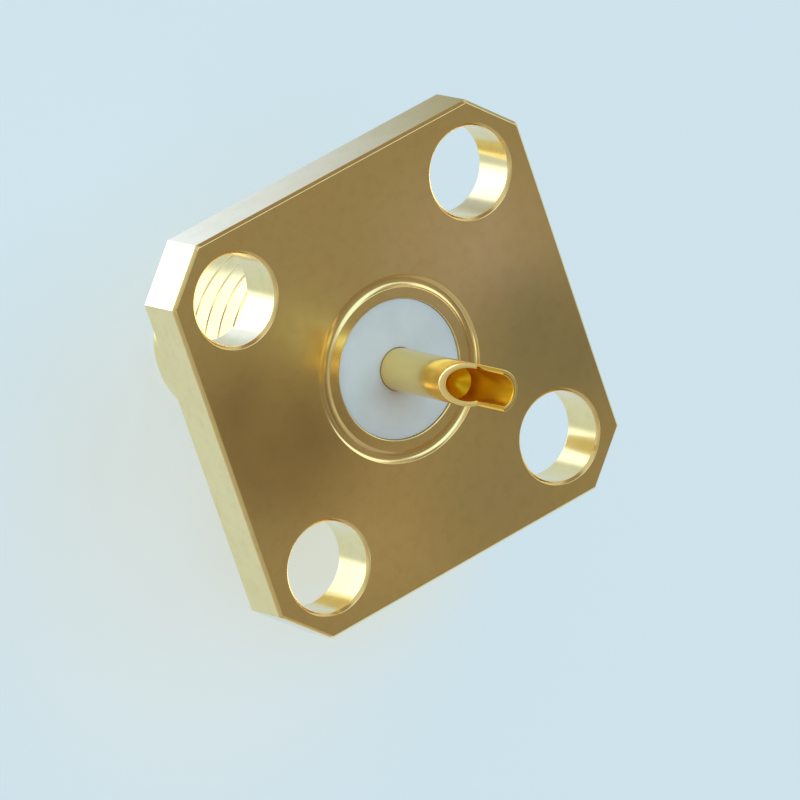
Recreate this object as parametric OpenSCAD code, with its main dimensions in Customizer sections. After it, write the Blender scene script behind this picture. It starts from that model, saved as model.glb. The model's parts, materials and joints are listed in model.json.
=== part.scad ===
// Coaxial panel jack of the SMA kind, seen as three pieces: a gold-plated brass body that is a
// square flange and a threaded barrel in one, a PTFE insulator staked into it, and a centre
// contact with a slotted socket at the mating end and a solder cup at the rear.
// The connector's axis is Z. The flange's rear face lies at z = 0, with the solder cup above it
// and the barrel below it. Millimetres and degrees.

/* [Flange] */
// Width of the square flange
flange_w = 12.7; // [11:0.1:16]
// Thickness of the flange
flange_t = 1.65; // [1.2:0.05:3]
// Leg of the cut at each corner of the flange
corner_cut = 1.4; // [0.4:0.1:1.8]
// Broken edge round both faces of the flange
flange_break = 0.1; // [0.04:0.01:0.2]

/* [Mounting holes] */
// Diameter of the four mounting holes
hole_d = 2.7; // [2.2:0.05:2.9]
// Distance from a hole's centre to the flange's two nearest sides
hole_edge = 2.03; // [1.85:0.01:2.3]
// Broken edge at both mouths of each hole
hole_break = 0.1; // [0.04:0.01:0.2]

/* [Barrel] */
// Major diameter of the thread on the barrel
thread_d = 6.3; // [6:0.05:6.8]
// Length of the barrel from the flange's front face to the mating end
barrel_len = 7.75; // [7:0.05:11]
// Diameter of the relief groove between flange and thread
relief_d = 5.4; // [5:0.05:5.9]
// Width of the relief groove
relief_w = 1.2; // [0.6:0.1:2]
// Diameter of the plain nose at the barrel's end
nose_d = 5.28; // [5.1:0.02:5.8]
// Length of the plain nose, up to the lead of the thread
nose_len = 1.2; // [0.4:0.1:1.8]
// Broken edge round the nose
nose_break = 0.08; // [0.02:0.01:0.12]
// Angle between the thread's lead and the connector's axis
lead_angle = 45; // [25:1:60]

/* [Mating bore] */
// Diameter of the bore that takes the mating plug's sleeve
mating_d = 4.6; // [4.45:0.01:4.75]
// Depth of the mating bore, from the barrel's end to the reference plane
mating_depth = 1.9; // [1.5:0.05:2.2]
// Broken edge at the mouth of the mating bore
mouth_break = 0.1; // [0.04:0.01:0.14]

/* [Insulator] */
// Diameter of the insulator
insulator_d = 4.2; // [3.9:0.01:4.3]
// Gap all round the insulator in the body
insulator_gap = 0.01; // [0.005:0.005:0.03]
// Depth of the insulator's end below the flange's rear face
insulator_inset = 0.05; // [0.02:0.01:0.2]

/* [Staking] */
// How far the staked lip leans in over the insulator's edge
lip_lean = 0.04; // [0.02:0.01:0.1]
// Depth of the staked lip
lip_depth = 0.4; // [0.3:0.05:0.8]
// Wall between the insulator's bore and the staking groove
stake_wall = 0.3; // [0.2:0.02:0.5]
// Width of the staking groove at the rear face
stake_w = 0.36; // [0.3:0.02:0.6]
// Depth of the staking groove
stake_depth = 0.09; // [0.05:0.01:0.14]

/* [Contact] */
// Diameter of the contact's shank
contact_d = 1.27; // [1.2:0.01:1.4]
// Gap all round the contact in the insulator
contact_gap = 0.01; // [0.005:0.005:0.03]
// Depth of the contact's mating end below the reference plane
contact_inset = 0.05; // [0:0.01:0.2]
// Length of the contact above the flange's rear face
tail_len = 5.2; // [4:0.1:7]
// Diameter of the barb that locks the contact in the insulator
barb_d = 1.7; // [1.5:0.05:2]
// Length of the barb's lead
barb_len = 0.8; // [0.4:0.1:1.2]
// Depth of the barb's step below the flange's rear face
barb_depth = 2; // [1.2:0.1:2.6]

/* [Socket] */
// Diameter of the socket bore
socket_d = 0.94; // [0.88:0.01:0.98]
// Depth of the socket bore
socket_depth = 3; // [2.6:0.1:3.4]
// Diameter over the fingers at the socket's end
finger_d = 1.21; // [1.15:0.01:1.27]
// Lead in the mouth of the socket
socket_lead = 0.06; // [0.02:0.01:0.08]
// Number of slots between the fingers
slots = 4; // [4, 2]
// Width of each slot
slot_w = 0.18; // [0.1:0.01:0.25]
// Length of each slot
slot_len = 2.2; // [1.6:0.1:2.5]

/* [Solder cup] */
// Diameter of the cup's bore
cup_d = 0.96; // [0.85:0.01:1.04]
// Depth of the cup's bore, from the end of the tail
cup_depth = 2.2; // [2:0.1:2.6]
// Length of the cup that is cut away to its full width
cup_open = 1.4; // [1.3:0.1:1.9]
// Height of the cut's flat above the connector's axis
cup_flat = -0.15; // [-0.2:0.05:0.2]
// Angle between the run-out of the cut and the connector's axis
cup_runout = 45; // [30:5:60]
// Direction that the open side of the cup faces, from +X towards +Y
cup_turn = -20; // [-180:5:180]

/* [Hidden] */
$fn = 96;
gold = [0.80, 0.66, 0.33];
bright_gold = [0.85, 0.68, 0.25];
white = [0.93, 0.95, 0.96];
// How far each cutting shape runs past the face it opens
past = 1;
// Included angle of a drill's point
drill_angle = 118;

front_z = -flange_t;
end_z = front_z - barrel_len;
reference_z = end_z + mating_depth;
lead_len = (thread_d - nose_d) / 2 / tan(lead_angle);
hole_pitch = flange_w - 2 * hole_edge;
// Distance from the axis to each corner cut
corner_reach = (flange_w - corner_cut) / sqrt(2);
bore_r = insulator_d / 2 + insulator_gap;
stake_r = bore_r + stake_wall + stake_w / 2;
// Radius of the round tool that leaves a groove of this width and depth
stake_tool_r = (stake_w * stake_w / 4 + stake_depth * stake_depth) / (2 * stake_depth);
contact_end_z = reference_z + contact_inset;
cup_floor_z = tail_len - cup_depth;
cup_open_z = tail_len - cup_open;

// Radius of the staked bore at a height within the lip: it narrows towards the rear face
function lip_r(z) = bore_r - lip_lean * (1 + z / lip_depth);

// A solid of revolution about the connector's axis, from its half section
module turned(half_section) {
    rotate_extrude() polygon(half_section);
}

// A drilled hole that opens downwards at z = 0, with the drill's point at its upper end
module drilled(d, depth) {
    turned([
        [0, -past],
        [d / 2, -past],
        [d / 2, depth],
        [0, depth + d / 2 / tan(drill_angle / 2)]
    ]);
}

// An endless bar with the flange's thickness and two opposite sides of it, both edges broken
module flange_bar(reach, turn) {
    half_section = [
        [reach - flange_break, front_z],
        [reach, front_z + flange_break],
        [reach, -flange_break],
        [reach - flange_break, 0]
    ];
    mirrored = [for (i = [3:-1:0]) [-half_section[i][0], half_section[i][1]]];
    rotate([90, 0, turn])
        linear_extrude(height = 2 * flange_w, center = true)
            polygon(concat(half_section, mirrored));
}

// The flange's plate: the four sides of the square and the four corner cuts
module plate() {
    intersection() {
        flange_bar(flange_w / 2, 0);
        flange_bar(flange_w / 2, 90);
        flange_bar(corner_reach, 45);
        flange_bar(corner_reach, 135);
    }
}

// The barrel at the thread's major diameter, with relief groove, lead and plain nose
module barrel() {
    turned([
        [0, front_z + flange_t / 2],
        [relief_d / 2, front_z + flange_t / 2],
        [relief_d / 2, front_z - relief_w],
        [thread_d / 2, front_z - relief_w - (thread_d - relief_d) / 2],
        [thread_d / 2, end_z + nose_len + lead_len],
        [nose_d / 2, end_z + nose_len],
        [nose_d / 2, end_z + nose_break],
        [nose_d / 2 - nose_break, end_z],
        [0, end_z]
    ]);
}

// The bore through the body: staked lip, insulator seat, reference plane, mating bore
module through_bore() {
    turned([
        [0, past],
        [lip_r(0), past],
        [lip_r(0), 0],
        [bore_r, -lip_depth],
        [bore_r, reference_z],
        [mating_d / 2, reference_z],
        [mating_d / 2, end_z + mouth_break],
        [mating_d / 2 + mouth_break + past, end_z - past],
        [0, end_z - past]
    ]);
}

// One mounting hole through the flange, both mouths broken at 45 degrees
module mounting_hole() {
    turned([
        [0, past],
        [hole_d / 2 + hole_break + past, past],
        [hole_d / 2, -hole_break],
        [hole_d / 2, front_z + hole_break],
        [hole_d / 2 + hole_break + past, front_z - past],
        [0, front_z - past]
    ]);
}

// The round-bottomed groove that the staking tool leaves in the rear face
module staking_groove() {
    rotate_extrude() translate([stake_r, stake_tool_r - stake_depth]) circle(r = stake_tool_r);
}

module body() {
    color(gold) difference() {
        union() {
            plate();
            barrel();
        }
        through_bore();
        staking_groove();
        for (x = [-1, 1], y = [-1, 1])
            translate([x * hole_pitch / 2, y * hole_pitch / 2, 0]) mounting_hole();
    }
}

module insulator() {
    rear_z = -insulator_inset;
    seat_r = contact_d / 2 + contact_gap;
    barb_r = barb_d / 2 + contact_gap;
    step_z = contact_gap - barb_depth;
    color(white) turned([
        [lip_r(rear_z) - insulator_gap, rear_z],
        [insulator_d / 2, -lip_depth],
        [insulator_d / 2, reference_z],
        [seat_r, reference_z],
        [seat_r, -barb_depth - barb_len],
        [barb_r, -barb_depth],
        [barb_r, step_z],
        [seat_r, step_z],
        [seat_r, rear_z]
    ]);
}

// The contact's outside: tapered fingers, shank, barb and tail
module contact_blank() {
    turned([
        [0, contact_end_z],
        [finger_d / 2, contact_end_z],
        [contact_d / 2, contact_end_z + slot_len],
        [contact_d / 2, -barb_depth - barb_len],
        [barb_d / 2, -barb_depth],
        [contact_d / 2, -barb_depth],
        [contact_d / 2, tail_len],
        [0, tail_len]
    ]);
}

// The socket bore, its lead and the slots that part the fingers
module socket() {
    translate([0, 0, contact_end_z]) {
        drilled(socket_d, socket_depth);
        cylinder(h = socket_lead, r1 = socket_d / 2 + socket_lead, r2 = socket_d / 2);
        for (i = [0:slots / 2 - 1])
            rotate([0, 0, i * 360 / slots])
                translate([-contact_d, -slot_w / 2, -past])
                    cube([2 * contact_d, slot_w, slot_len + past]);
    }
}

// The milled cut that opens the cup: a flat along the axis with a slanted run-out
module cup_cut() {
    reach = contact_d / 2 + past;
    rotate([90, 0, cup_turn])
        linear_extrude(height = 2 * contact_d, center = true)
            polygon([
                [cup_flat, cup_open_z],
                [reach, cup_open_z - (reach - cup_flat) / tan(cup_runout)],
                [reach, tail_len + past],
                [cup_flat, tail_len + past]
            ]);
}

module contact() {
    color(bright_gold) difference() {
        contact_blank();
        socket();
        translate([0, 0, tail_len]) mirror([0, 0, 1]) drilled(cup_d, cup_depth);
        cup_cut();
    }
}

body();
insulator();
contact();
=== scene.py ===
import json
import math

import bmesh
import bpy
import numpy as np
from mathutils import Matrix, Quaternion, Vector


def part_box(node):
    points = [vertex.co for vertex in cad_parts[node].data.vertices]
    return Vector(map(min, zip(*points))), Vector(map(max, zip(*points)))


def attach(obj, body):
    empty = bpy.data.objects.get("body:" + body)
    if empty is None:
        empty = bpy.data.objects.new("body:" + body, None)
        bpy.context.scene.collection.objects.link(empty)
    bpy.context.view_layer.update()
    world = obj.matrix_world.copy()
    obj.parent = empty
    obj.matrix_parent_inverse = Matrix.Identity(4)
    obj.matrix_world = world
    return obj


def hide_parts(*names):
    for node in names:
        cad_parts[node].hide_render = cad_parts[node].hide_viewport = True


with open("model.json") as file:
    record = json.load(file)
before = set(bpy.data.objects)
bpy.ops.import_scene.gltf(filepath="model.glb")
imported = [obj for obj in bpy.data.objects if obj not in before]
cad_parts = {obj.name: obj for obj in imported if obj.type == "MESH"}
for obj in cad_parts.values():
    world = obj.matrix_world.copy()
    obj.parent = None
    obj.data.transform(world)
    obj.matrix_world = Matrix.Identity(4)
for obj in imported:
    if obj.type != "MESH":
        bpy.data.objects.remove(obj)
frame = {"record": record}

# Coaxial panel jack of the SMA kind: a gold-plated brass flange and barrel in one piece, a white
# PTFE insulator staked into it, and a gold-plated centre contact with a slotted socket at the
# mating end and a solder cup at the rear. Z is the connector's axis, with the flange's rear face
# at z = 0. Shapes are worked out in millimetres and put into the meshes in metres. A profile is a
# list of (radius, height) rows.

MM = 0.001
FULL_TURN = 2 * math.pi
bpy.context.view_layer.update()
mounts = {m["name"]: m for m in frame["record"]["mounts"]}
body_low, body_high = (np.array(c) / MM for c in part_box("body"))
contact_low, contact_high = (np.array(c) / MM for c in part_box("contact"))
white_low, white_high = (np.array(c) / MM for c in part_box("insulator"))

# Sizes in millimetres: R is a radius, W a width and Z a height
FLANGE_HALF = body_high[0]
FRONT_Z = mounts["front_face"]["pos_m"][2] / MM
END_Z = body_low[2]
HOLE_AT = mounts["flange_holes"]["dims"]["spacing_x_mm"] / 2
HOLE_R = mounts["flange_holes"]["dims"]["hole_r_mm"]
THREAD_R = mounts["barrel_outside"]["dims"]["r_mm"]
MATING_R = mounts["mating_bore"]["dims"]["r_mm"]
SOCKET_R = mounts["contact_socket"]["dims"]["r_mm"]
REFERENCE_Z = white_low[2]
CORNER_CUT = 1.4
EDGE, EDGE_ROUND = 0.1, 0.03  # the break on the flange's edges, and the rounds at its corners
SOFT = 0.03  # how far back a turned corner is rounded
RELIEF_R, RELIEF_W, RELIEF_FILLET = 2.7, 1.2, 0.08
NOSE_R, NOSE_LEN, NOSE_BREAK = 2.64, 1.2, 0.08
MOUTH_BREAK = 0.1
FIT = 0.01  # gap round the insulator and round the contact
BORE_R = white_high[0] + FIT
LIP_LEAN, LIP_DEPTH, LIP_SOFT = 0.04, 0.4, 0.05
SLEEVE_SOFT, SEAT_SOFT = 0.05, 0.02  # at the insulator's front end, and behind round the contact
STAKE_R, STAKE_W, STAKE_DEPTH, STAKE_SOFT = 2.59, 0.36, 0.09, 0.06
STAKE_FADE, STAKE_FADE_AT = 0.7, math.radians(-12)  # the groove is shallower at one side
PITCH = 25.4 / 36
LINE_W, LINE_SOFT = PITCH / 8, 0.012  # the fine groove that marks the thread's helix
SHANK_R = 0.635
BARB_R, BARB_LEN, BARB_Z, BARB_BREAK = 0.85, 0.8, -2.0, 0.02
CUP_R, CUP_FLOOR_Z, CUP_OPEN_Z, CUP_FLAT = 0.48, 3.0, 3.8, -0.15
CUP_TURN = math.radians(-20)
CUP_ROOT_Z = 2.5  # the cup's surface runs down to here, and the plain shank begins
FINGER_R, FINGER_SOFT, FINGER_MOUTH = 0.605, 0.02, 0.05
SLOT_W, SLOT_Z = 0.18, contact_low[2] + 2.2
FINGER_ROOT_Z, SOCKET_ROOT_Z = SLOT_Z + 0.35, SLOT_Z + 0.3
SOCKET_FLOOR_Z = contact_low[2] + 3.0
DRILL = math.tan(math.radians(59))  # of half a drill's point angle
MITRE = math.tan(math.radians(22.5))  # of half the turn at a square corner


# ---------------------------------------------------------------- surfaces


def skin(grid, wrap=False):
    """Faces between the neighbours of a grid of points; wrap joins its last column to its first."""
    rows, cols = grid.shape[:2]
    index = np.arange(rows * cols).reshape(rows, cols)
    here, beside = (index, np.roll(index, -1, axis=1)) if wrap else (index[:, :-1], index[:, 1:])
    faces = np.stack([here[:-1], beside[:-1], beside[1:], here[1:]], axis=-1)
    return grid.reshape(-1, 3), faces.reshape(-1, 4)


def polar(r, angle, z):
    """Points at x = r cos(angle), y = r sin(angle) and z, for arrays that broadcast together."""
    r, angle, z = np.broadcast_arrays(r, angle, z)
    return np.stack([r * np.cos(angle), r * np.sin(angle), z], axis=-1)


def turned(profile, angles):
    """A profile carried round the axis to every angle."""
    profile = np.array(profile)
    return skin(polar(profile[:, :1], angles[None, :], profile[:, 1:]), wrap=True)


def even_turn(count, start=0.0):
    """Evenly spaced angles round a full turn."""
    return start + np.arange(count) * FULL_TURN / count


def softened(points, steps=5):
    """A polyline of (r, z, softness) with each corner replaced by a parabola: it leaves the corner's
    two sides at the softness from it, or at 0.45 of a shorter side, and the corner pulls it in."""
    p = np.array(points, float)
    out = [p[:1, :2]]
    for before, here, after in zip(p[:-2], p[1:-1], p[2:]):
        if here[2] == 0:
            out.append(here[None, :2])
            continue
        to_before, to_after = before[:2] - here[:2], after[:2] - here[:2]
        reach_1, reach_2 = np.linalg.norm(to_before), np.linalg.norm(to_after)
        cut = min(here[2], 0.45 * reach_1, 0.45 * reach_2)
        start, end = here[:2] + to_before * cut / reach_1, here[:2] + to_after * cut / reach_2
        t = np.linspace(0, 1, steps + 1)[:, None]
        out.append((1 - t) ** 2 * start + 2 * t * (1 - t) * here[:2] + t ** 2 * end)
    out.append(p[-1:, :2])
    return np.concatenate(out)


def held(profile, margin=0.02):
    """The profile with two more rows in each long stretch, a margin from its ends, so that smooth
    shading bends only beside the corners."""
    rows = [profile[:1]]
    for a, b in zip(profile[:-1], profile[1:]):
        length = np.linalg.norm(b - a)
        if length > 5 * margin:
            rows.append(np.array([a + (b - a) * margin / length, b - (b - a) * margin / length]))
        rows.append(b[None])
    return np.concatenate(rows)


def flat_sheet(name, points, faces, material):
    """An object for the stage from points in millimetres, with its material."""
    mesh = bpy.data.meshes.new(name)
    mesh.from_pydata((points * MM).tolist(), [], faces.tolist())
    mesh.materials.append(material)
    sheet = bpy.data.objects.new(name, mesh)
    bpy.context.scene.collection.objects.link(sheet)
    return sheet


def make_piece(name, skins, material, sharp=32):
    """One closed mesh from skins whose borders meet, with its doubles merged and faces outwards."""
    points, faces, start = [], [], 0
    for p, f in skins:
        points.append(p)
        faces.append(f + start)
        start += len(p)
    points, faces = np.concatenate(points) * MM, np.concatenate(faces)
    mesh = bpy.data.meshes.new(name)
    mesh.vertices.add(len(points))
    mesh.vertices.foreach_set("co", points.astype(np.float32).ravel())
    mesh.loops.add(faces.size)
    mesh.loops.foreach_set("vertex_index", faces.astype(np.int32).ravel())
    mesh.polygons.add(len(faces))
    mesh.polygons.foreach_set("loop_start", np.arange(0, faces.size, 4, dtype=np.int32))
    mesh.update(calc_edges=True)
    bm = bmesh.new()
    bm.from_mesh(mesh)
    bmesh.ops.remove_doubles(bm, verts=bm.verts, dist=1e-7)
    bmesh.ops.recalc_face_normals(bm, faces=bm.faces)
    print(name, len(bm.faces), "faces,", sum(not e.is_manifold for e in bm.edges), "open edges")
    bm.to_mesh(mesh)
    bm.free()
    mesh.polygons.foreach_set("use_smooth", np.ones(len(mesh.polygons), bool))
    mesh.set_sharp_from_angle(angle=math.radians(sharp))
    mesh.materials.append(material)
    piece = bpy.data.objects.new(name, mesh)
    bpy.context.scene.collection.objects.link(piece)
    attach(piece, "root")
    return piece


# ---------------------------------------------------------------- flange and barrel

CELL = 2.4  # half width of the flange's middle strip, between the four cells round the holes
SIDE, STRIP, INNER = 16, 16, 24  # samples on a cell's outer side, a strip's end, a cell's inner side
RING = even_turn(4 * (STRIP + 2 * INNER), math.radians(-11.25))
STAKE_RIM_R = STAKE_R + STAKE_W / 2 + STAKE_SOFT  # where the flat of the rear face begins
RELIEF_RIM_R = RELIEF_R + 0.12  # and that of the front face


def legs(corners, counts):
    """Samples along a polyline, each leg cut in equal steps, without the last corner."""
    return np.concatenate([
        a + (b - a) * np.arange(n)[:, None] / n
        for a, b, n in zip(np.array(corners[:-1], float), np.array(corners[1:], float), counts)
    ])


def quarters(samples):
    """The samples of one quarter, turned by 0, 90, 180 and 270 degrees about the axis."""
    x, y = samples[:, 0], samples[:, 1]
    return np.concatenate([np.stack(p, axis=-1) for p in ((x, y), (-y, x), (-x, -y), (y, -x))])


def corner_at(inset):
    """Half width of the outline and height of its corner cut's upper end, both at an inset."""
    reach = (2 * FLANGE_HALF - CORNER_CUT) / math.sqrt(2)
    half = FLANGE_HALF - inset
    return half, math.sqrt(2) * (reach - inset) - half


def outline(inset):
    """The octagonal outline moved inwards, with samples at the borders of the cells."""
    half, cut = corner_at(inset)
    return quarters(legs([(half, -CELL), (half, CELL), (half, cut), (cut, half), (CELL, half)],
                         [STRIP, SIDE, SIDE, SIDE]))


def cross_outline(inset):
    """The border of the middle cell: the ends of the strips and the inner sides of the cells."""
    half = FLANGE_HALF - inset
    return quarters(legs([(half, -CELL), (half, CELL), (CELL, CELL), (CELL, half)],
                         [STRIP, INNER, INNER]))


def cell_outline(inset):
    """The border of the cell round one hole, from its inner corner on."""
    half, cut = corner_at(inset)
    return legs([(CELL, CELL), (half, CELL), (half, cut), (cut, half), (CELL, half), (CELL, CELL)],
                [INNER, SIDE, SIDE, SIDE, INNER])


def between(inner, outer, z, margin=0.02):
    """A flat ring at height z: points on straight lines from an inner to an outer border."""
    share = np.array([0, margin, 0.3, 0.65, 1 - margin, 1])[:, None, None]
    flat = inner * (1 - share) + outer * share
    return skin(np.concatenate([flat, np.full(flat.shape[:2] + (1,), z)], axis=-1), wrap=True)


def wall_profile():
    """(inset, height) down a wall of the flange whose two edges are broken at 45 degrees. A corner of
    the break is an eighth of a circle of radius r: r sin(t) across and r (1 - cos(t)) down."""
    t = np.linspace(0, math.pi / 4, 4)
    across, down = EDGE_ROUND * np.sin(t), EDGE_ROUND * (1 - np.cos(t))
    across, down = np.r_[across, EDGE - down[::-1]], np.r_[down, EDGE - across[::-1]]
    rear = np.stack([EDGE - across, -down], 1)
    front = np.stack([rear[::-1, 0], FRONT_Z - rear[::-1, 1]], 1)
    return held(np.concatenate([rear, front]))


def flange():
    """Both faces, the four holes and the side. On each face a middle cell reaches from the turned
    middle to the cross's border, and four more reach from a hole's mouth to their own borders."""
    rim = wall_profile()
    side = np.stack([np.c_[outline(inset), np.full(4 * (STRIP + 3 * SIDE), z)] for inset, z in rim])
    skins = [between(polar(r, RING, 0)[:, :2], cross_outline(EDGE), z, 0.01)
             for z, r in ((0.0, STAKE_RIM_R), (FRONT_Z, RELIEF_RIM_R))]
    skins.append(skin(side, wrap=True))
    around = even_turn(3 * SIDE + 2 * INNER, math.radians(225))
    mouth = polar(HOLE_R + EDGE, around, 0)[:, :2] + HOLE_AT
    wall = polar(HOLE_R + rim[:, :1], around[None, :], rim[:, 1:]) + [HOLE_AT, HOLE_AT, 0]
    for quarter in range(4):
        cos, sin = round(math.cos(quarter * math.pi / 2)), round(math.sin(quarter * math.pi / 2))
        spin = np.array([[cos, sin], [-sin, cos]])
        for z in (0.0, FRONT_Z):
            skins.append(between(mouth @ spin, cell_outline(EDGE) @ spin, z))
        skins.append(skin(np.concatenate([wall[..., :2] @ spin, wall[..., 2:]], axis=-1), wrap=True))
    return skins


def barrel_radius(share):
    """Radius of the barrel at a share of the thread's pitch: the thread's outer radius less a 60
    degree V groove. Its depth is d = sqrt(3) (half its width - the distance from its middle),
    softened to s log(1 + exp(d / s)). The groove only marks the thread's helix, and is a known
    fault: the full thread would be cut 0.6134 of the pitch deep between these lines."""
    away = np.abs((share + 0.5) % 1 - 0.5) * PITCH
    depth = math.sqrt(3) * (LINE_W / 2 - away)
    return THREAD_R - LINE_SOFT * np.log1p(np.exp(depth / LINE_SOFT))


def marked_barrel(low, high):
    """The barrel's wall between two plain ends: a row follows the helix z = pitch * (row + turns),
    held between the ends, and is drawn in where the cones at the nose and the relief are narrower."""
    shares = np.array([0, .045, .065, .09, .13, .18, .24, .3, .36, .42,
                       .5, .58, .64, .7, .76, .82, .87, .91, .935, .955])
    turns = np.arange(math.floor(low / PITCH) - 2, math.ceil(high / PITCH) + 1)
    rows = (turns[:, None] + shares[None, :]).ravel()
    once = np.append(RING, RING[0] + FULL_TURN)
    z = np.clip((rows[:, None] + once[None, :] / FULL_TURN) * PITCH, low, high)
    r = np.broadcast_to(barrel_radius(rows)[:, None], z.shape)
    r = np.minimum(r, NOSE_R + (z - low))
    r = np.minimum(r, RELIEF_R + (high - z))
    return skin(polar(r, once[None, :], z))


def rear_and_bore():
    """Profile from the rear face's staked groove over the lip, down the bore and round the nose. The
    groove is an arc of a circle through its two edges and its depth."""
    tool_r = (STAKE_W ** 2 / 4 + STAKE_DEPTH ** 2) / (2 * STAKE_DEPTH)
    reach = math.asin(STAKE_W / 2 / tool_r)
    t = np.linspace(reach, -reach, 13)
    softness = np.where(np.isin(np.arange(13), (0, 12)), STAKE_SOFT, 0)
    groove = np.stack([STAKE_R + tool_r * np.sin(t), tool_r * (1 - np.cos(t)) - STAKE_DEPTH, softness], 1)
    return held(softened([
        (STAKE_RIM_R, 0, 0), *groove, (BORE_R - LIP_LEAN, 0, LIP_SOFT), (BORE_R, -LIP_DEPTH, SOFT),
        (BORE_R, REFERENCE_Z, 0), (MATING_R, REFERENCE_Z, SOFT), (MATING_R, END_Z + MOUTH_BREAK, SOFT),
        (MATING_R + MOUTH_BREAK, END_Z, SOFT), (NOSE_R - NOSE_BREAK, END_Z, SOFT),
        (NOSE_R, END_Z + NOSE_BREAK, SOFT), (NOSE_R, END_Z + NOSE_LEN, 0)]))


def pressed(profile):
    """That profile carried round the axis, its groove shallower at one side: there its depth is
    times 1 - fade * cos(angle - the fade's middle), where that cosine is positive."""
    grid = polar(profile[:, :1], RING[None, :], profile[:, 1:])
    beside = 0.01
    inner_r = STAKE_R - STAKE_W / 2 - STAKE_SOFT - beside
    groove = (profile[:, 0] > inner_r) & (profile[:, 1] > -STAKE_DEPTH - beside)
    grid[groove, :, 2] *= 1 - STAKE_FADE * np.maximum(0, np.cos(RING - STAKE_FADE_AT))
    return skin(grid, wrap=True)


def jack_body(material):
    """Flange, barrel and bore as one closed surface."""
    relief_z = FRONT_Z - RELIEF_W
    relief = softened([(RELIEF_R, relief_z, 0), (RELIEF_R, FRONT_Z, RELIEF_FILLET),
                       (RELIEF_RIM_R, FRONT_Z, 0)])
    skins = flange() + [pressed(rear_and_bore()), marked_barrel(END_Z + NOSE_LEN, relief_z),
                        turned(held(relief), RING)]
    piece = make_piece("jack_body", skins, material)
    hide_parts("body")


# ---------------------------------------------------------------- insulator


def insulator(material):
    """A closed profile carried round the axis: a PTFE sleeve with softly rounded ends, necked under
    the lip, its bore following the contact and its barb."""
    seam_r = 1.4  # the profile begins and ends here, on the rear end
    rear_z = white_high[2]
    seat_r, barb_r = SHANK_R + FIT, BARB_R + FIT
    lip_r = BORE_R - LIP_LEAN * (1 + rear_z / LIP_DEPTH)
    loop = softened([
        (seam_r, rear_z, 0), (lip_r - FIT, rear_z, SOFT), (BORE_R - FIT, -LIP_DEPTH, 0),
        (BORE_R - FIT, REFERENCE_Z, SLEEVE_SOFT), (seat_r, REFERENCE_Z, SOFT),
        (seat_r, BARB_Z - BARB_LEN, 0), (barb_r, BARB_Z, 0), (barb_r, BARB_Z + FIT, 0),
        (seat_r, BARB_Z + FIT, 0), (seat_r, rear_z, SEAT_SOFT), (seam_r, rear_z, 0)])
    piece = make_piece("insulator_sleeve", [turned(held(loop), even_turn(128))], material)
    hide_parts("insulator")


# ---------------------------------------------------------------- centre contact


def at_start(share, width):
    """1 at the start of a stretch, falling to 0 over a width of it."""
    return np.clip(1 - share / width, 0, 1)


def at_end(share, width):
    """1 at the end of a stretch, rising from 0 over a width of it."""
    return np.clip((share - (1 - width)) / width, 0, 1)


def mirrored(values, sign=1, step=0.0, times=1):
    """A run of values, then its mirror image, where a value is step + sign * value, and the whole
    repeated a number of times, each a step further on."""
    once = np.concatenate([values, step + sign * values[-2:0:-1]])
    return np.concatenate([once + k * step for k in range(times)])


def tube_end(edge, pull, base, outer, inner, soft=(SOFT, SOFT), turn=0.0, rows=10, taper=None):
    """The end of a tube whose edge is cut to a curve. In the unrolled wall, a point is an angle and
    a height. edge(r) gives the curve at radius r and pull the direction into the wall, so a point
    at depth d is edge + d * pull. Rows run up the outside from a plain ring at (radius, height)
    outer, over the rim with both its corners round, and down the inside to the ring inner. A taper
    (height, length, amount) draws the outside in, in step with the distance below a height."""
    t = np.linspace(0, math.pi / 2, 5)
    depth = np.concatenate([soft[0] * (1 - np.sin(t)), soft[1] * (1 - np.cos(t))])
    radius = np.concatenate([outer[0] - soft[0] * (1 - np.cos(t)),
                             inner[0] + soft[1] * (1 - np.sin(t))])
    rim = []
    for d, r in zip(depth, radius):
        angle, z = edge(r)
        rim.append((np.full_like(angle, r), angle + d * pull[0] / r, z + d * pull[1]))

    def stretch(ring, row, shares):
        """Rows at shares of the way from a plain ring to a row of the rim."""
        _, angle, z = row
        return [(np.full_like(angle, ring[0]), base * (1 - s) + angle * s, ring[1] * (1 - s) + z * s)
                for s in shares]

    share = 1 - (1 - np.linspace(0, 1, rows + 1)[:-1]) ** 1.5
    grid = stretch(outer, rim[0], share) + rim + stretch(inner, rim[-1], share[::-1])
    r, angle, z = (np.stack(part) for part in zip(*grid))
    if taper:
        below = np.clip((taper[0] - z) / taper[1], 0, 1)
        r = r - taper[2] * below * (r - inner[0]) / (outer[0] - inner[0])
    return skin(polar(r, angle + turn, z), wrap=True)


def drill_point(r, z, way):
    """Profile of the cone that a drill leaves at a hole's end: r / DRILL deep, up or down by way."""
    return [(r, z), (r / 2, z + way * r / 2 / DRILL), (0, z + way * r / DRILL)]


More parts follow.
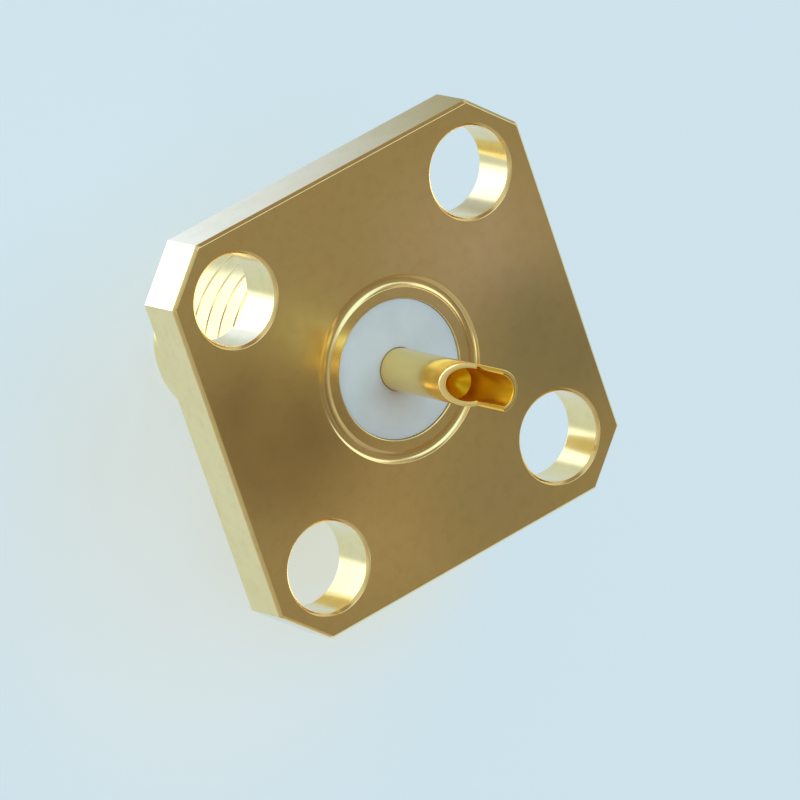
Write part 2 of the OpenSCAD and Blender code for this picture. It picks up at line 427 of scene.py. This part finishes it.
def solder_cup():
    """The open cup and its floor, and the angles of the ring below. Over half its turn the edge runs
    up the slanted scoop, where z = open height - (r cos(angle) - flat), then straight up the flat
    cut, where r cos(angle) = flat, then round the end at full height. The way into the wall is
    square to the scoop, sideways at the flat cut and down at the end, mitred where they meet."""
    scoop = np.linspace(0, 1, 26, endpoint=False)
    flat = np.linspace(0, 1, 22, endpoint=False)
    end = np.linspace(0, 1, 31)
    top = contact_high[2]

    def edge(r):
        side = math.acos(CUP_FLAT / r)
        angle = np.concatenate([side * scoop, np.full(len(flat), side), side + (math.pi - side) * end])
        z = np.concatenate([CUP_OPEN_Z + CUP_FLAT - r * np.cos(side * scoop),
                            CUP_OPEN_Z + (top - CUP_OPEN_Z) * flat, np.full(len(end), top)])
        return mirrored(angle, -1, FULL_TURN), mirrored(z)

    slope = np.sin(math.acos(CUP_FLAT / SHANK_R) * scoop)
    scoop_mitre_w, mitre_w = 0.07, 0.06  # shares of a stretch over which the way in turns
    turning = at_end(scoop, scoop_mitre_w)
    sideways = np.concatenate([slope / np.hypot(1, slope) * (1 - turning) + turning,
                               np.ones(len(flat)), at_start(end, mitre_w)])
    sideways[[0, -1]] = 0
    down = np.concatenate([1 / np.hypot(1, slope) * (1 - turning) + MITRE * turning,
                           MITRE * at_start(flat, mitre_w) + at_end(flat, mitre_w), np.ones(len(end))])
    # of each half of the ring below, 95 degrees lie under the scoop and 27 under the flat cut
    base = np.radians(np.concatenate([95 * scoop, 95 + 27 * flat, 122 + 58 * end]))
    base = mirrored(base, -1, FULL_TURN)
    cup = tube_end(edge, (mirrored(sideways, -1), -mirrored(down)), base, (SHANK_R, CUP_ROOT_Z),
                   (CUP_R, CUP_FLOOR_Z), turn=CUP_TURN)
    ring = base + CUP_TURN
    return [cup, turned(drill_point(CUP_R, CUP_FLOOR_Z, -1), ring)], ring


def slotted_socket():
    """The four tapered fingers with their bore, and the angles of the ring above. Over an eighth of a
    turn the edge crosses half a slot's end, runs down the slot's side, where r sin(angle) is half
    the slot's width, and goes round the finger's tip."""
    slot = np.linspace(0, 1, 4, endpoint=False)
    side = np.linspace(0, 1, 12, endpoint=False)
    tip = np.linspace(0, 1, 11)
    low, eighth, quarter = contact_low[2], math.pi / 4, math.pi / 2

    def edge(r):
        half_slot = math.asin(SLOT_W / 2 / r)
        angle = np.concatenate([half_slot * slot, np.full(len(side), half_slot),
                                half_slot + (eighth - half_slot) * tip])
        z = np.concatenate([np.full(len(slot), SLOT_Z), SLOT_Z + (low - SLOT_Z) * side,
                            np.full(len(tip), low)])
        return mirrored(angle, -1, quarter, 4), mirrored(z, times=4)

    sideways = np.concatenate([slot ** 3, np.ones(len(side)), at_start(tip, 0.1)])
    sideways[-1] = 0
    up = np.concatenate([np.ones(len(slot)), at_start(side, 0.03) + at_end(side, 0.03),
                         np.ones(len(tip))])
    # of each eighth of the ring above, 0.12 radians lie over the slot's end and 0.16 over its side
    base = np.concatenate([0.12 * slot, 0.12 + 0.16 * side, 0.28 + (eighth - 0.28) * tip])
    base = mirrored(base, -1, quarter, 4)
    fingers = tube_end(edge, (mirrored(sideways, -1, times=4), mirrored(up, times=4)), base,
                       (SHANK_R, FINGER_ROOT_Z), (SOCKET_R, SOCKET_ROOT_Z),
                       soft=(FINGER_SOFT, FINGER_MOUTH),
                       taper=(SLOT_Z, SLOT_Z - low, SHANK_R - FINGER_R))
    hole = [(SOCKET_R, SOCKET_ROOT_Z)] + drill_point(SOCKET_R, SOCKET_FLOOR_Z, 1)
    return [fingers, turned(hole, base)], base


def bridge(r, low, low_angles, high, high_angles):
    """The band between two rings on one cylinder whose angles differ. In order of angle, each next
    point of either ring closes a triangle with the last points of both. A triangle is a quad whose
    last two corners lie on one point, which merge later."""
    lo, hi = np.sort(np.mod(low_angles, FULL_TURN)), np.sort(np.mod(high_angles, FULL_TURN))
    points = np.concatenate([polar(r, lo, low), polar(r, hi, high)])
    ends = np.concatenate([np.append(lo[1:], lo[0] + FULL_TURN), np.append(hi[1:], hi[0] + FULL_TURN)])
    ring = np.repeat([0, 1], [len(lo), len(hi)])[np.argsort(ends, kind="stable")]
    low_now = np.cumsum(ring == 0) - (ring == 0)
    high_now = np.cumsum(ring == 1) - (ring == 1)
    first = low_now % len(lo)
    second = len(lo) + high_now % len(hi)
    third = np.where(ring == 0, (low_now + 1) % len(lo), len(lo) + (high_now + 1) % len(hi))
    return np.tile(points, (2, 1)), np.stack([first, third, second, second + len(points)], axis=-1)


def centre_contact(material):
    """The contact as one closed surface: cup, turned shank with its barb, slotted socket."""
    cup, cup_ring = solder_cup()
    socket, socket_ring = slotted_socket()
    steps = even_turn(144)
    shank_low, shank_high = FINGER_ROOT_Z + 0.2, CUP_ROOT_Z - 0.3  # bands join it to both ends
    shank = np.array([(SHANK_R, shank_low), (SHANK_R, BARB_Z - BARB_LEN), (BARB_R, BARB_Z - BARB_BREAK),
                      (BARB_R, BARB_Z), (SHANK_R, BARB_Z), (SHANK_R, shank_high)])
    skins = cup + socket + [turned(held(shank), steps),
                            bridge(SHANK_R, FINGER_ROOT_Z, socket_ring, shank_low, steps),
                            bridge(SHANK_R, shank_high, steps, CUP_ROOT_Z, cup_ring)]
    piece = make_piece("centre_contact", skins, material)
    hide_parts("contact")


# ---------------------------------------------------------------- materials


class Nodes:
    """Short calls that add a node and join it up. A keyword in_Name sets or links the input of that
    name, at_2 the third input, and any other a setting of the node."""

    def __init__(self, tree):
        self.tree = tree
        tree.nodes.clear()

    def add(self, kind, **settings):
        node = self.tree.nodes.new(kind)
        for key, value in settings.items():
            if key.startswith("in_"):
                self.give(node.inputs[key[3:].replace("_", " ")], value)
            elif key.startswith("at_"):
                self.give(node.inputs[int(key[3:])], value)
            else:
                setattr(node, key, value)
        return node

    def give(self, socket, value):
        """A socket's value, or the link to it."""
        if isinstance(value, bpy.types.NodeSocket):
            self.tree.links.new(value, socket)
        else:
            socket.default_value = value


def new_material(name):
    """A material and its empty nodes."""
    material = bpy.data.materials.new(name)
    material.use_nodes = True
    return material, Nodes(material.node_tree)


def ramp(nodes, value, low, high, to_low, to_high, smooth=True):
    """Carries a value from one range to another."""
    kind = "SMOOTHSTEP" if smooth else "LINEAR"
    node = nodes.add("ShaderNodeMapRange", interpolation_type=kind, in_Value=value)
    for socket, number in zip(("From Min", "From Max", "To Min", "To Max"), (low, high, to_low, to_high)):
        node.inputs[socket].default_value = number
    return node.outputs["Result"]


def blend(nodes, share, first, second):
    """A colour between two, by a share."""
    node = nodes.add("ShaderNodeMix", data_type="RGBA", clamp_factor=True, at_0=share)
    for socket, value in ((6, first), (7, second)):
        nodes.give(node.inputs[socket], value if isinstance(value, bpy.types.NodeSocket) else (*value, 1))
    return node.outputs[2]


def distance(nodes, where, place):
    """How far a point is, in metres, from a place in millimetres."""
    node = nodes.add("ShaderNodeVectorMath", operation="DISTANCE", at_0=where, at_1=Vector(place) * MM)
    return node.outputs["Value"]


def bore_share(nodes, where, r, floor_z):
    """1 inside the bore of a radius round the axis, from a little under its floor up, and 0 outside."""
    height = nodes.add("ShaderNodeSeparateXYZ", at_0=where).outputs[2]
    across = nodes.add("ShaderNodeVectorMath", operation="MULTIPLY", at_0=where, at_1=(1, 1, 0))
    off_axis = nodes.add("ShaderNodeVectorMath", operation="LENGTH", at_0=across.outputs[0])
    near = ramp(nodes, off_axis.outputs["Value"], (r + 0.03) * MM, r * MM, 0, 1)
    above = ramp(nodes, height, (floor_z - 0.7) * MM, (floor_z - 0.35) * MM, 0, 1)
    return nodes.add("ShaderNodeMath", operation="MULTIPLY", at_0=near, at_1=above).outputs[0]


def plated_gold(name, pale, deep, rough_low, rough_high, mottle=0.0, inside=None):
    """Plating over machined brass: cloudy tone, satin patches, a faint mottle and a very fine
    unevenness, from noises whose scales are in cells a metre. Inside, as (radius, height, colour),
    is a bore round the axis above a height, whose gold is rougher and painted a deeper colour, as
    painted shade and painted light bounced between its gold walls."""
    material, n = new_material(name)
    where = n.add("ShaderNodeTexCoord").outputs["Object"]
    clouds = n.add("ShaderNodeTexNoise", in_Vector=where, in_Scale=330.0, in_Detail=3.0).outputs[0]
    colour = blend(n, ramp(n, clouds, 0.3, 0.7, 0, 1), pale, deep)
    specks = n.add("ShaderNodeTexNoise", in_Vector=where, in_Scale=2600.0, in_Detail=5.0,
                   in_Roughness=0.65).outputs[0]
    colour = blend(n, ramp(n, specks, 0.42, 0.72, 0, mottle), colour, tuple(0.62 * v for v in deep))
    rough = ramp(n, clouds, 0.25, 0.75, rough_low, rough_high)
    # painted shade and painted bounced light: the bore's gold is painted a deeper colour
    if inside:
        bore_painted_shade = bore_share(n, where, *inside[:2])
        colour = blend(n, bore_painted_shade, colour, inside[2])
        rough = n.add("ShaderNodeMix", at_0=bore_painted_shade, at_2=rough, at_3=0.34).outputs[0]
    grain = n.add("ShaderNodeTexNoise", in_Vector=where, in_Scale=9000.0, in_Detail=4.0).outputs[0]
    bump = n.add("ShaderNodeBump", in_Height=grain, in_Distance=0.00001, in_Strength=0.02)
    metal = n.add("ShaderNodeBsdfPrincipled", in_Base_Color=colour, in_Metallic=1.0, in_Roughness=rough,
                  in_Normal=bump.outputs[0])
    n.add("ShaderNodeOutputMaterial", in_Surface=metal.outputs[0])
    return material


def white_ptfe():
    """Turned PTFE: waxy, softly mottled, with faint turning rings as bump."""
    material, n = new_material("white_ptfe")
    where = n.add("ShaderNodeTexCoord").outputs["Object"]
    mottle = n.add("ShaderNodeTexNoise", in_Vector=where, in_Scale=900.0, in_Detail=3.0).outputs[0]
    colour = blend(n, ramp(n, mottle, 0.3, 0.7, 0, 1), (0.745, 0.72, 0.675), (0.795, 0.77, 0.72))
    rings = n.add("ShaderNodeTexWave", in_Vector=where, in_Scale=1400.0, wave_type="RINGS",
                  rings_direction="Z").outputs[0]
    bump = n.add("ShaderNodeBump", in_Height=rings, in_Distance=0.000004, in_Strength=0.3)
    plastic = n.add("ShaderNodeBsdfPrincipled", in_Base_Color=colour, in_Roughness=0.42,
                    in_Normal=bump.outputs[0], in_Subsurface_Weight=0.35,
                    in_Subsurface_Radius=(0.0006, 0.0006, 0.0006), in_Subsurface_Scale=1.0)
    n.add("ShaderNodeOutputMaterial", in_Surface=plastic.outputs[0])
    return material


# ---------------------------------------------------------------- stage

BACKGROUND = (0.638, 0.783, 0.855)
SHEET = (0.62, 0.78, 0.95)  # the floor as the gold mirrors it
GOLD_BOUNCE_SPOT, GOLD_BOUNCE_UNDER_SPOT = (3, 5.5, END_Z), (-2, 6.5, END_Z)  # middles of the painted warm light on the floor, where the gold throws light
LOOK = np.array([-0.4486, 0.3357, 0.8283])  # the direction that the rear face shows the camera
CARD_OFF, CARD_HALF = 24, 14  # the painted reflection card's distance from the origin, and half its width

# The room's lights and dim places: where it lies, the angles from there at which it is full and
# gone, and its colour. A later one lies over those before it.
ROOM = [
    ((0, 0, 1), 84, 94, (0.66, 0.67, 0.64)),  # the upper half
    ((0.05, 0.88, 0.45), 18, 50, (0.42, 0.40, 0.36)),  # dim places round the rear face's look
    ((0.62, 0.34, 0.71), 12, 40, (0.40, 0.40, 0.36)),
    ((0.45, -0.34, 0.83), 10, 30, (0.39, 0.45, 0.42)),
    ((0.2, 0.05, 0.98), 8, 24, (0.40, 0.38, 0.32)),
    ((-0.32, -0.42, 0.85), 14, 31, (1.0, 1.35, 1.65)),  # an overhead window
    ((0.47, 0.13, 0.87), 4, 10, (1.5, 1.5, 1.3)),  # a small lamp
    ((-0.45, -0.83, 0.34), 8, 26, (0.30, 0.24, 0.18)),  # warm dark places
    ((-0.45, 0.34, 0.83), 14, 25, (0.29, 0.25, 0.19)),
    ((-0.62, 0.66, 0.42), 22, 38, (0.24, 0.20, 0.15)),
    ((-0.75, -0.42, 0.52), 8, 20, (0.42, 0.40, 0.33)),
    ((-0.89, -0.04, 0.45), 10, 21, (1.3, 1.4, 1.5)),  # windows low at the sides
    ((0.68, -0.71, -0.19), 14, 30, (2.0, 2.1, 2.3)),
    ((0.33, -0.45, -0.83), 18, 30, (0.75, 0.9, 1.2)),  # and light that comes up from the sheet
]

# The card's dim warm glow, a painted reflection of dim surroundings, and its soft spots, painted
# light and shade that the rear face mirrors: the point of the rear face that mirrors one, the
# distances from it at which it is full and gone, and its colour. The last three make a pale
# streak, a painted reflection of the pin's highlight.
CARD = (0.285, 0.255, 0.19)
PAINTED_REFLECTION_SPOTS = [
    ((2.4, 3.6), 0.8, 4.0, (0.35, 0.30, 0.215)),
    ((-4, -2.2), 0.5, 4.0, (0.37, 0.335, 0.36)),
    ((-5.4, 1.6), 0.8, 3.8, (0.165, 0.17, 0.155)),
    ((4.9, -0.2), 1.2, 4.0, (0.145, 0.11, 0.07)),
    ((-1.8, 5.2), 0.5, 3.5, (0.235, 0.22, 0.18)),
    # painted highlight: a pale streak that mirrors the pin's bright edge
    ((2.2, -2.1), 0.1, 0.9, (0.62, 0.66, 0.38)),
    ((2.75, -2.55), 0.1, 0.9, (0.62, 0.66, 0.38)),
    ((3.3, -3.1), 0.1, 0.9, (0.62, 0.66, 0.38)),
]


def sheet_material():
    """Pale floor. The camera sees its own colour, with painted warm light near the flange and under it,
    where the gold throws light onto it, and with the object's soft shadow. Mirrors see painted light
    and shade on it past one side, dim at one end and glowing bright at the other, and see the
    studio's low lights through it."""
    material, n = new_material("pale_sheet")
    ray = n.add("ShaderNodeLightPath")
    where = n.add("ShaderNodeTexCoord").outputs["Object"]
    # painted warm light: the floor is painted warmer beside the flange and under it, where the gold
    # throws light
    beside = ramp(n, distance(n, where, GOLD_BOUNCE_SPOT), 12 * MM, 2 * MM, 0, 1)
    under = ramp(n, distance(n, where, GOLD_BOUNCE_UNDER_SPOT), 6.5 * MM, 2.2 * MM, 0, 1)
    painted_gold_bounce = blend(n, beside, (0.77, 0.89, 0.93), (0.91, 0.975, 0.95))
    painted_gold_bounce = blend(n, under, painted_gold_bounce, (0.91, 0.90, 0.74))
    paint = n.add("ShaderNodeBsdfDiffuse", in_Color=(*BACKGROUND, 1))
    glow = n.add("ShaderNodeEmission", in_Color=painted_gold_bounce)
    share = n.add("ShaderNodeMath", operation="MULTIPLY", at_0=ray.outputs["Is Camera Ray"], at_1=0.6)
    seen = n.add("ShaderNodeMixShader", at_0=share.outputs[0], at_1=paint.outputs[0],
                 at_2=glow.outputs[0])
    place = n.add("ShaderNodeSeparateXYZ", at_0=where)
    # painted light and shade that only mirrors see: past one side the floor is painted dim at one end, as
    # in the object's shadow, and glowing bright at the other, as a pool of lamp light
    along = ramp(n, place.outputs[0], -10 * MM, 9 * MM, 0, 1, smooth=False)
    past = ramp(n, place.outputs[1], -4.5 * MM, -8 * MM, 0, 1)
    painted_light_and_shade = blend(n, along, (0.37, 0.42, 0.40), (1.25, 1.72, 3.2))
    painted_glow_in_mirrors = n.add("ShaderNodeEmission", in_Color=blend(n, past, SHEET, painted_light_and_shade))
    clear = n.add("ShaderNodeBsdfTransparent")
    in_mirrors = n.add("ShaderNodeAddShader", at_0=painted_glow_in_mirrors.outputs[0], at_1=clear.outputs[0])
    both = n.add("ShaderNodeMixShader", at_0=ray.outputs["Is Glossy Ray"], at_1=seen.outputs[0],
                 at_2=in_mirrors.outputs[0])
    n.add("ShaderNodeOutputMaterial", in_Surface=both.outputs[0])
    return material


def floor():
    """A wide flat pale sheet at the height of the barrel's end."""
    x = np.linspace(-600.0, 600.0, 5)
    grid = np.stack(np.meshgrid(x, x, [END_Z], indexing="ij"), axis=-1)[:, :, 0]
    flat_sheet("pale_floor", *skin(grid), sheet_material())


def studio():
    """The room as directions, blended one over another. The camera sees the plain background."""
    world = bpy.data.worlds.new("studio")
    bpy.context.scene.world = world
    world.use_nodes = True
    n = Nodes(world.node_tree)
    way = n.add("ShaderNodeTexCoord").outputs["Generated"]
    colour = (0, 0, 0)
    for axis, full, gone, light in ROOM:
        axis = Vector(axis).normalized()
        dot = n.add("ShaderNodeVectorMath", operation="DOT_PRODUCT", at_0=way, at_1=axis)
        outer, inner = (math.cos(math.radians(angle)) for angle in (gone, full))
        colour = blend(n, ramp(n, dot.outputs["Value"], outer, inner, 0, 1), colour, light)
    ray = n.add("ShaderNodeLightPath")
    colour = blend(n, ray.outputs["Is Camera Ray"], colour, BACKGROUND)
    sky = n.add("ShaderNodeBackground", in_Color=colour, in_Strength=1.0)
    n.add("ShaderNodeOutputWorld", in_Surface=sky.outputs[0])


def painted_reflection_material():
    """The card's dim warm glow with its soft spots, all painted reflections, clear at its rim."""
    material, n = new_material("card_tones")
    where = n.add("ShaderNodeTexCoord").outputs["Object"]
    colour = CARD
    for place, full, gone, tone in PAINTED_REFLECTION_SPOTS:
        point = np.array([*place, 0.0])
        spot = point + LOOK * (CARD_OFF - point @ LOOK)
        away = distance(n, where, spot)
        colour = blend(n, ramp(n, away, gone * MM, full * MM, 0, 1), colour, tone)
    glow = n.add("ShaderNodeEmission", in_Color=colour)
    clear = n.add("ShaderNodeBsdfTransparent")
    solid = ramp(n, distance(n, where, LOOK * CARD_OFF), 11.5 * MM, 8.5 * MM, 0, 1)
    both = n.add("ShaderNodeMixShader", at_0=solid, at_1=clear.outputs[0], at_2=glow.outputs[0])
    n.add("ShaderNodeOutputMaterial", in_Surface=both.outputs[0])
    return material


def tone_card():
    """A soft card that only mirrors see, square to the direction in which the rear face looks. It
    paints reflections onto that face: uneven painted light and shade, and a pale streak that is a
    painted reflection of the pin's highlight. Its points are centre + a * across + b * along, for
    a and b between its two half widths."""
    across = np.cross([0, 0, 1], LOOK) / np.linalg.norm(np.cross([0, 0, 1], LOOK))
    along = np.cross(LOOK, across)
    span = np.linspace(-CARD_HALF, CARD_HALF, 5)
    grid = LOOK * CARD_OFF + span[:, None, None] * across + span[None, :, None] * along
    card = flat_sheet("tone_card", *skin(grid), painted_reflection_material())
    card.visible_camera = card.visible_diffuse = card.visible_shadow = False
    card.visible_transmission = card.visible_volume_scatter = False


def aim(holder, back, place, roll=0.0):
    """Puts a lamp or camera at a place in millimetres, its back turned to a direction, and rolled."""
    holder.location = place * MM
    holder.rotation_mode = "QUATERNION"
    holder.rotation_quaternion = back.to_track_quat("Z", "Y") @ Quaternion((0, 0, 1), roll)
    bpy.context.scene.collection.objects.link(holder)


def key_softbox():
    """A round lamp that looks at the origin from above, for the white insulator and the floor."""
    lamp = bpy.data.lights.new("key_softbox", "AREA")
    lamp.shape, lamp.size, lamp.energy, lamp.color = "DISK", 400 * MM, 0.5, (0.25, 0.7, 1.1)
    holder = bpy.data.objects.new("key_softbox", lamp)
    holder.visible_glossy = False
    way = Vector((-0.1, -0.45, 1.0)).normalized()
    aim(holder, way, way * 400)


def camera():
    """A long lens from the solder cup's side, rolled so that the axis lies across the picture. It
    looks at a point near the rear face's middle, from a distance in millimetres."""
    azimuth, elevation, roll = (math.radians(v) for v in (53.19, 55.92, 102.87))
    back = Vector((math.sin(azimuth) * math.cos(elevation), -math.cos(azimuth) * math.cos(elevation),
                   math.sin(elevation)))
    lens = bpy.data.cameras.new("view")
    lens.sensor_width, lens.lens = 36, 444
    lens.clip_start, lens.clip_end = 0.01, 10
    eye = bpy.data.objects.new("view", lens)
    target, distance_off = Vector((0.387, 0.794, 0.112)), 285.9
    aim(eye, back, target + back * distance_off, roll)
    bpy.context.scene.camera = eye


# ---------------------------------------------------------------- the scene

camera()
body_gold = plated_gold("plated_body_gold", (1.0, 0.78, 0.36), (0.98, 0.74, 0.32), 0.13, 0.2, mottle=0.14)
# the deep orange inside the solder cup is painted shade and painted light bounced between its gold walls
contact_gold = plated_gold("plated_contact_gold", (1.0, 0.76, 0.30), (0.98, 0.72, 0.26), 0.1, 0.16,
                           inside=(CUP_R, CUP_FLOOR_Z, (0.80, 0.44, 0.012)))
jack_body(body_gold)
insulator(white_ptfe())
centre_contact(contact_gold)
floor()
studio()
tone_card()
key_softbox()
bpy.context.scene.view_settings.view_transform = "Standard"
